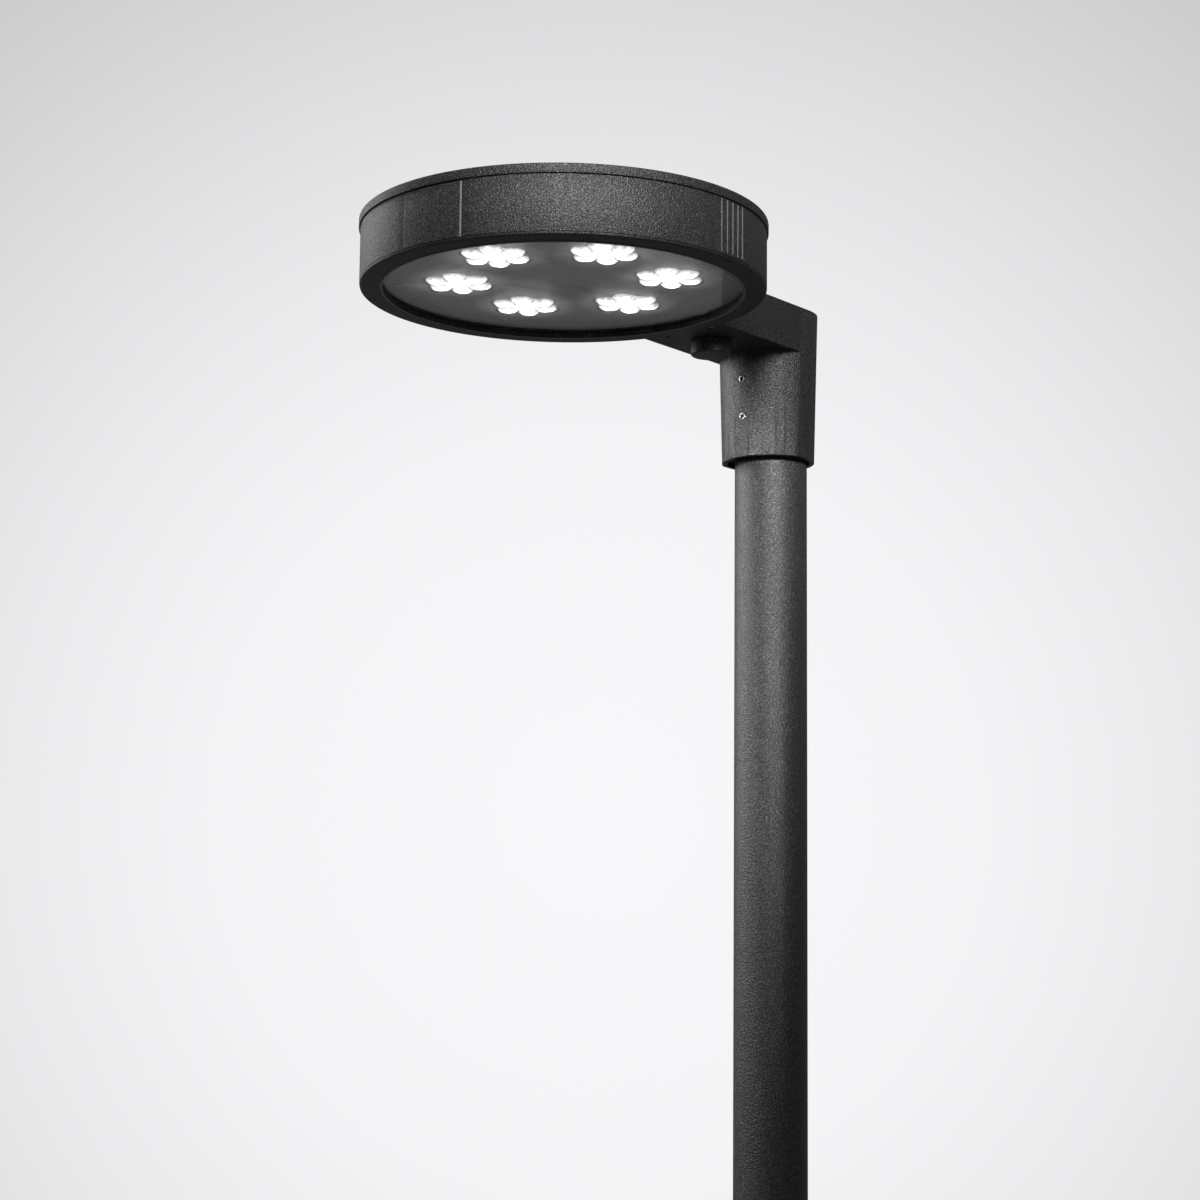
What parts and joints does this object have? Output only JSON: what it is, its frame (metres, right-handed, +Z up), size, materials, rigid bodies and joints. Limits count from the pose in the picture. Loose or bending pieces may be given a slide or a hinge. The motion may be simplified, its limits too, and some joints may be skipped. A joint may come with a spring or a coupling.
{
  "type": "street lamp post",
  "caption": "Post-top street lamp: a flat round LED head with clear glass on an L-shaped bracket clamped over a plain round post with a base plate and service door.",
  "frame": {"origin": "centre of the base plate underside, on the post axis, at ground level", "axes": "+Z up along the post; the head reaches out to -Y; +X is across the arm; the service door faces -Y"},
  "size_m": [0.3931, 0.7026, 3.5794],
  "materials": {
    "post_paint": "fine-textured anthracite powder coat",
    "casting_paint": "cast aluminium under fine-textured anthracite powder coat",
    "frame_paint": "smooth near-black coat on cast aluminium",
    "zinc_steel": "zinc-plated",
    "stainless": "bright stainless",
    "earth_brass": "plain brass",
    "black_rubber": "matt rubber",
    "cable_jacket": "rubber cable jacket",
    "wire_insulation": "coloured wire insulation",
    "dark_plastic": "moulded black plastic",
    "cap_plastic": "moulded anthracite plastic",
    "box_plastic": "moulded grey plastic",
    "lid_plastic": "light grey plastic",
    "terminal_plastic": "moulded off-white plastic",
    "surge_plastic": "moulded dark grey plastic",
    "driver_case": "white plastic case",
    "fuse_ceramic": "glazed ceramic",
    "spreader_aluminium": "milled aluminium",
    "reflector_grey": "satin grey sheet",
    "board_white": "white solder mask",
    "led_phosphor": "LED packages, lit cool white",
    "lens_acrylic": "clear moulded acrylic lit from behind",
    "clear_glass": "clear toughened glass"
  },
  "bodies": {
    "post": {"base_plate": "post_paint", "post_tube": "post_paint", "door_bridges": "zinc_steel", "mounting_rail": "zinc_steel", "rail_studs": "zinc_steel", "earth_stud": "earth_brass", "fuse_box": "box_plastic", "fuse_base": "lid_plastic", "fuse_box_lid": "lid_plastic", "box_glands": "dark_plastic", "riser_cable": "cable_jacket", "riser_socket": "dark_plastic"},
    "head": {"bracket": "casting_paint", "grub_screws": "stainless", "bracket_bolts": "stainless", "lead_plug": "dark_plastic", "luminaire_lead": "cable_jacket", "lead_grommet": "black_rubber", "sensor_socket": "dark_plastic", "housing_body": "casting_paint", "top_cover": "casting_paint", "top_cover_gasket": "black_rubber", "top_cover_screws": "stainless", "heat_spreader": "spreader_aluminium", "led_boards": "board_white", "led_chips": "led_phosphor", "lens_clusters": "lens_acrylic", "reflector_plate": "reflector_grey", "reflector_screws": "zinc_steel", "led_driver": "driver_case", "driver_screws": "zinc_steel", "surge_protector": "surge_plastic", "terminal_block": "terminal_plastic", "head_wiring": "wire_insulation", "frame_gasket": "black_rubber", "hinge_pins": "zinc_steel", "latch_springs": "zinc_steel"},
    "door": {"door_panel": "post_paint", "door_gasket": "black_rubber"},
    "upper_bolt": {"door_bolt_upper": "stainless"},
    "lower_bolt": {"door_bolt_lower": "stainless"},
    "carrier": {"fuse_carrier": "dark_plastic", "fuse_cartridge": "fuse_ceramic"},
    "glazing": {"glass_frame": "frame_paint", "glass_disc": "clear_glass", "glass_seal": "black_rubber", "glass_clips": "zinc_steel"},
    "release_panel": {"latch_panel": "casting_paint"},
    "knob": {"socket_cap": "cap_plastic", "socket_cap_seal": "black_rubber"}
  },
  "joints": [
    {"name": "head_swivel", "type": "hinge", "parent": "post", "child": "head", "pos_m": [0, 0, 3.45], "axis": [0, 0, 1], "range_deg": [-180, 180]},
    {"name": "frame_open", "type": "hinge", "parent": "head", "child": "glazing", "pos_m": [0, -0.158, 3.5115], "axis": [1, 0, 0], "range_deg": [0, 85]},
    {"name": "panel_press", "type": "hinge", "parent": "head", "child": "release_panel", "pos_m": [0, -0.549, 3.513], "axis": [-1, 0, 0], "range_deg": [0, 4], "stiffness_Nm_per_rad": 2, "springref_deg": -2.86, "deforming": ["latch_springs"]},
    {"name": "knob_turn", "type": "hinge", "parent": "head", "child": "knob", "pos_m": [0, -0.11, 3.5], "axis": [0, 0, 1], "range_deg": [0, 60]},
    {"name": "door_pull", "type": "slide", "parent": "post", "child": "door", "axis": [0, -1, 0], "range_m": [0, 0.06]},
    {"name": "upper_bolt_turn", "type": "hinge", "parent": "door", "child": "upper_bolt", "pos_m": [0, -0.03, 0.784], "axis": [0, -1, 0], "continuous": true},
    {"name": "lower_bolt_turn", "type": "hinge", "parent": "door", "child": "lower_bolt", "pos_m": [0, -0.03, 0.516], "axis": [0, -1, 0], "continuous": true},
    {"name": "carrier_pull", "type": "slide", "parent": "post", "child": "carrier", "axis": [0, -1, 0], "range_m": [0, 0.012]}
  ]
}
